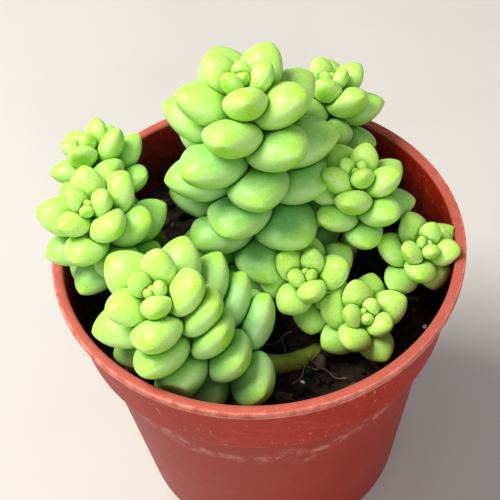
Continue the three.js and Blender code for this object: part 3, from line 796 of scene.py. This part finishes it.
class Leaf:
    """One leaf: its place, its size, and its surface as rings of points round its own axis."""

    def __init__(self, shoot, turn):
        self.shoot, self.turn = shoot, turn
        distance = shoot.leaf_distance(turn)
        up, out = shoot.leaf_directions(turn)
        opening = OLD_TILT - (OLD_TILT - YOUNG_TILT) * math.exp(-turn / TILT_TURNS)
        tilt = math.radians(opening + 100 * UNEVENNESS * uneven(shoot, turn, 2))
        self.along = math.cos(tilt) * up + math.sin(tilt) * out
        self.face = math.sin(tilt) * up - math.cos(tilt) * out
        self.across = np.cross(self.along, self.face)
        inset = FOOT_SHARE * radius_below_tip(distance) * min(1, distance / BUD_LENGTH)
        self.foot = shoot.below_tip(distance)[0] + out * inset
        growth = (turn / (GROWTH_TURNS + GROWTH_PER_LEAF * shoot.leaf_count)) ** GROWTH_POWER
        short = BUD_LEAF_SHARE * math.exp(-growth)
        self.length = shoot.leaf_length * (1 - short) * (1 + UNEVENNESS * uneven(shoot, turn, 3))
        youth = math.exp(-turn / YOUTH_TURNS)
        self.half_width = self.length * LEAF_WIDTH / 2
        self.half_depth = self.length * (LEAF_THICKNESS + YOUNG_DEPTH * youth) / 2
        self.upper = UPPER_SHARE + YOUNG_UPPER * youth
        self.tip_power = TIP_POWER - YOUNG_TIP * youth
        self.section_power = SECTION_POWER + YOUNG_SECTION * youth
        self.centre = self.foot + self.along * self.length / 2
        self.draw()

    def draw(self):
        """The leaf's surface before anything presses on it, and its axis beside each point."""
        shares = 0.5 - 0.5 * np.cos(np.pi * np.arange(1, LEAF_RINGS + 1) / (LEAF_RINGS + 1))
        around = np.linspace(0, 2 * math.pi, LEAF_SIDES, endpoint=False)
        share, angle = (grid.ravel() for grid in np.meshgrid(shares, around, indexing="ij"))
        self.shares = np.concatenate([share, [0, 1]])
        angle = np.concatenate([angle, [0, 0]])
        full = self.fullness(self.shares)
        full[-2:] = 0
        sideways, depth = np.cos(angle), np.sin(angle)
        power = self.section_power
        section = full / (np.abs(sideways) ** power + np.abs(depth) ** power) ** (1 / power)
        self.under = 0.5 - 0.5 * depth
        self.edges = np.abs(sideways) ** 6 * np.clip(6 * self.shares - 2.5, 0, 1)
        sideways = section * sideways * self.half_width
        depth = section * depth * self.half_depth
        depth = np.where(depth > 0, self.upper * depth, depth)
        self.spine = self.bent(self.shares)
        self.reach = sideways[:, None] * self.across + depth[:, None] * self.face
        self.held = np.ones(len(self.shares))

    def fullness(self, share):
        """Half width at a share of the length, as a share of the greatest half width."""
        widest = FOOT_POWER / (FOOT_POWER + self.tip_power)
        inside = np.clip(share, 1e-6, 1 - 1e-6)
        return (inside / widest) ** FOOT_POWER * ((1 - inside) / (1 - widest)) ** self.tip_power

    def bent(self, share):
        """The leaf's axis. It curls a little towards its upper face, and turns back at the wall."""
        straight = share[:, None] * self.length
        spine = self.foot + straight * self.along + LEAF_CURL * straight * share[:, None] * self.face
        over_lip = np.maximum(0, spine[:, 2] - POT_HEIGHT + 0.5)
        room = collar_inside(spine[:, 2]) - WALL_ROOM + LIP_SLOPE * over_lip
        spine[:, :2] *= np.minimum(1, room / np.hypot(spine[:, 0], spine[:, 1]))[:, None]
        return spine

    def points(self):
        return self.spine + self.held[:, None] * self.reach

    def holds(self, points, gap):
        """Which points lie inside this leaf, or within a gap of it."""
        away = points - self.foot
        share = (away @ self.along) / self.length
        level = away @ self.face - LEAF_CURL * self.length * share ** 2
        full = self.fullness(share)
        half_width = full * self.half_width + gap
        half_depth = full * self.half_depth
        half_depth = np.where(level > 0, self.upper * half_depth, half_depth) + gap
        spread = (np.abs(away @ self.across) / half_width) ** self.section_power
        spread += (np.abs(level) / half_depth) ** self.section_power
        return (share > 0) & (share < 1) & (spread < 1)


def in_pot_or_soil(points):
    """Which points lie inside the pot's wall and lip, or in the soil."""
    x, y, z = points.T
    radius = np.hypot(x, y)
    wall = (radius > collar_inside(z) - PRESS_GAP) & (z < POT_HEIGHT - RIM_DEPTH)
    lip = (radius > RIM_RADIUS - RIM_WIDTH - PRESS_GAP) & (radius < RIM_RADIUS + PRESS_GAP)
    lip &= (z > POT_HEIGHT - RIM_DEPTH) & (z < POT_HEIGHT + PRESS_GAP)
    return wall | lip | (z < soil_height(x, y) + PRESS_GAP)


def press(leaf, firmer):
    """Draws a leaf's surface in towards its axis wherever something firmer is in the way."""
    near = [other for other in firmer
            if np.linalg.norm(other.centre - leaf.centre) < NEAR_SHARE * (other.length + leaf.length)]
    unsettled = np.arange(len(leaf.held))
    for squeeze in range(PRESS_ROUNDS):
        points = leaf.spine[unsettled] + leaf.held[unsettled, None] * leaf.reach[unsettled]
        blocked = in_pot_or_soil(points)
        for other in near:
            blocked |= other.holds(points, PRESS_GAP)
        unsettled = unsettled[blocked]
        if len(unsettled) == 0:
            break
        leaf.held[unsettled] -= PRESS_STEP
    for easing in range(EASING_ROUNDS):
        rings = leaf.held[:-2].reshape(LEAF_RINGS, LEAF_SIDES)
        before, after = np.vstack([rings[:1], rings[:-1]]), np.vstack([rings[1:], rings[-1:]])
        beside = np.roll(rings, 1, axis=1) + np.roll(rings, -1, axis=1)
        rings = np.minimum(rings, 0.2 * (rings + before + after + beside))
        leaf.held[:-2] = rings.ravel()


grown = []
for shoot in shoots:
    for turn in range(shoot.leaf_count):
        leaf = Leaf(shoot, turn)
        if leaf.foot[2] > soil_height(leaf.foot[0], leaf.foot[1]) + STEM_RADIUS:
            grown.append(leaf)
grown.sort(key=lambda leaf: leaf.turn)
for at, leaf in enumerate(grown):
    press(leaf, grown[:at])

# The leaf skin is a waxy cuticle over wet, light-scattering flesh. Young leaves are yellow-green
# with brighter tips; old ones are a bluer green under a thin, patchy bloom.
leaf_skin = new_finish("waxy_leaf_cuticle")
leaf_place = add_node(leaf_skin, "TexCoord").outputs["Object"]
leaf_age = add_node(leaf_skin, "Attribute", attribute_name="leaf_age")
leaf_along = add_node(leaf_skin, "Attribute", attribute_name="leaf_along")
leaf_tint = add_node(leaf_skin, "Attribute", attribute_name="leaf_tint")
age_colour = add_node(leaf_skin, "ValToRGB", {"Fac": leaf_age.outputs["Fac"]})
age_stops = age_colour.color_ramp.elements
age_stops[0].position = 0.0
age_stops[0].color = linear(LEAF_YOUNGEST)
age_stops[1].position = 1.0
age_stops[1].color = linear(LEAF_OLDEST)
for position, shade in LEAF_AGE_COLOURS:
    age_stops.new(position).color = linear(shade)
tint_share = add_node(leaf_skin, "MapRange", {
    "Value": leaf_tint.outputs["Fac"], "To Min": 0.0, "To Max": 0.35})
tinted = add_node(leaf_skin, "MixRGB", {"Fac": tint_share, "Color1": age_colour, "Color2": LEAF_TINT})
tip_share = add_node(leaf_skin, "MapRange", {
    "Value": leaf_along.outputs["Fac"], "From Min": 0.68, "From Max": 1.0, "To Max": 0.65},
    interpolation_type="SMOOTHSTEP")
tipped = add_node(leaf_skin, "MixRGB", {"Fac": tip_share, "Color1": tinted, "Color2": TIP_YELLOW})
# The lower face keeps less bloom, so its green is stronger towards the tip.
leaf_under = add_node(leaf_skin, "Attribute", attribute_name="leaf_under")
under_share = add_node(leaf_skin, "MapRange", {
    "Value": leaf_under.outputs["Fac"], "From Min": 0.45, "From Max": 1.0, "To Max": 0.75},
    interpolation_type="SMOOTHSTEP")
outward_share = add_node(leaf_skin, "MapRange", {
    "Value": leaf_along.outputs["Fac"], "From Min": 0.35, "From Max": 0.85})
under_tip_share = add_node(leaf_skin, "Math", {0: under_share, 1: outward_share}, operation="MULTIPLY")
undersided = add_node(leaf_skin, "MixRGB", {
    "Fac": under_tip_share, "Color1": tipped, "Color2": UNDERSIDE_GREEN})
# Each leaf turns a deeper, bluer green towards its foot. This is partly its own colour and partly painted
# shade where the leaves crowd round the stem.
foot_and_shade_share = add_node(leaf_skin, "MapRange", {
    "Value": leaf_along.outputs["Fac"], "From Min": 0.05, "From Max": 0.55, "To Min": 0.75, "To Max": 0.0},
    interpolation_type="SMOOTHSTEP")
footed_and_shaded = add_node(leaf_skin, "MixRGB", {"Fac": foot_and_shade_share, "Color1": undersided, "Color2": FOOT_GREEN_AND_SHADE})
bloom_patches = add_node(leaf_skin, "TexNoise", {
    "Vector": leaf_place, "Scale": PER_MM / 3.5, "Detail": 7.0, "Roughness": 0.65})
bloom_share = add_node(leaf_skin, "MapRange", {
    "Value": bloom_patches, "From Min": 0.44, "From Max": 0.68, "To Max": 0.36})
bloomed = add_node(leaf_skin, "MixRGB", {"Fac": bloom_share, "Color1": footed_and_shaded, "Color2": BLOOM_PALE})
# Breathing pores and wax flecks are a tenth of a millimetre wide, too fine to show, and are drawn
# three quarters of a millimetre wide.
pore_flecks = add_node(leaf_skin, "TexNoise", {
    "Vector": leaf_place, "Scale": PER_MM / 0.75, "Detail": 3.0, "Roughness": 0.7})
pore_share = add_node(leaf_skin, "MapRange", {
    "Value": pore_flecks, "From Min": 0.50, "From Max": 0.70, "To Max": 0.5})
flecked = add_node(leaf_skin, "MixRGB", {"Fac": pore_share, "Color1": bloomed, "Color2": PORE_GREEN})
# The edges of a leaf are thin, so the light comes through them paler.
leaf_edge = add_node(leaf_skin, "Attribute", attribute_name="leaf_edge")
edge_share = add_node(leaf_skin, "Math", {0: leaf_edge.outputs["Fac"], 1: 0.5}, operation="MULTIPLY")
edged = add_node(leaf_skin, "MixRGB", {"Fac": edge_share, "Color1": flecked, "Color2": EDGE_PALE})
# A few dark specks of grit and scars, about 5 mm apart and half a millimetre across.
speck_cells = add_node(leaf_skin, "TexVoronoi", {"Vector": leaf_place, "Scale": PER_MM / 4.5})
speck_share = add_node(leaf_skin, "MapRange", {
    "Value": speck_cells, "From Min": 0.03, "From Max": 0.06, "To Min": 0.55,
    "To Max": 0.0})
specked = add_node(leaf_skin, "MixRGB", {"Fac": speck_share, "Color1": edged, "Color2": GRIT_BROWN})
wax_gloss = add_node(leaf_skin, "MapRange", {
    "Value": bloom_patches, "From Min": 0.3, "From Max": 0.7, "To Min": 0.36, "To Max": 0.52})
leaf_bump = add_node(leaf_skin, "Bump", {"Height": pore_flecks, "Strength": 0.22, "Distance": 0.0002})
leaf_shader = add_node(leaf_skin, "BsdfPrincipled", {
    "Base Color": specked, "Roughness": wax_gloss, "IOR": 1.45,
    "Subsurface Weight": 0.25, "Subsurface Radius": (0.7, 1.0, 0.25), "Subsurface Scale": 0.0025,
    "Normal": leaf_bump})
add_node(leaf_skin, "OutputMaterial", {"Surface": leaf_shader})

leaf_faces = ring_faces(LEAF_RINGS, LEAF_SIDES)


def place_leaves(name, leaves, node):
    """One piece made of one or more leaves, with each leaf's age and tint kept on its points."""
    faces = [tuple(index + at * len(leaf.shares) for index in face)
             for at, leaf in enumerate(leaves) for face in leaf_faces]
    piece = place_piece(
        name, np.vstack([leaf.points() for leaf in leaves]), faces, leaf_skin, [node])
    ages = np.concatenate([np.full(len(leaf.shares), min(1, leaf.turn / OLD_TURNS)) for leaf in leaves])
    tints = np.concatenate([
        np.full(len(leaf.shares), uneven(leaf.shoot, leaf.turn, 4) + 0.5) for leaf in leaves])
    alongs = np.concatenate([leaf.shares for leaf in leaves])
    edges = np.concatenate([leaf.edges for leaf in leaves])
    unders = np.concatenate([leaf.under for leaf in leaves])
    for attribute, values in (
            ("leaf_age", ages), ("leaf_tint", tints), ("leaf_along", alongs), ("leaf_edge", edges),
            ("leaf_under", unders)):
        piece.data.attributes.new(attribute, "FLOAT", "POINT").data.foreach_set("value", values)
    return piece


for shoot in shoots:
    own = [leaf for leaf in grown if leaf.shoot is shoot]
    place_leaves(
        shoot.name + "_bud", [leaf for leaf in own if leaf.turn < BUD_LEAVES],
        shoot.name + "_shoot")
    for leaf in own:
        place = leaf.turn - BUD_LEAVES + 1
        if place < 1:
            continue
        single = f"{shoot.name}_leaf_{place:02d}"
        free = place <= shoot.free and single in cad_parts
        place_leaves(
            f"{shoot.name}_blade_{place:02d}", [leaf],
            single if free else shoot.name + "_shoot")
